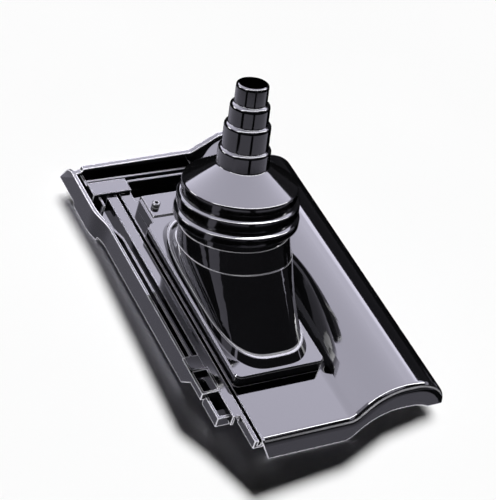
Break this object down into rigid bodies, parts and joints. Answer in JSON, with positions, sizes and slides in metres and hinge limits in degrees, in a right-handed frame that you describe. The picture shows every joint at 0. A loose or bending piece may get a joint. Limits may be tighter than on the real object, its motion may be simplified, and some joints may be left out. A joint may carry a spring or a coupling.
{
  "type": "antenna roof tile",
  "caption": "Interlocking plastic roof tile with an S-shaped roll and a raked hood whose soft stepped sleeve seals round an antenna mast.",
  "frame": {"origin": "middle of the tile's outline, at the level of the front skirt's lower edge and the nibs", "axes": "+Z out of the roof, square to the pan; +Y up the roof from foot to head; +X across, from the side lock to the roll"},
  "size_m": [0.267, 0.446, 0.2795],
  "materials": {
    "tile_plastic": "glossy black moulding",
    "hood_plastic": "glossy black moulding",
    "sleeve_rubber": "smooth black rubber",
    "screw": "black"
  },
  "bodies": {
    "root": {"base_tile": "tile_plastic", "hood": "hood_plastic", "antenna_sleeve": "sleeve_rubber", "hood_screw_left": "screw", "hood_screw_right": "screw"}
  },
  "joints": []
}
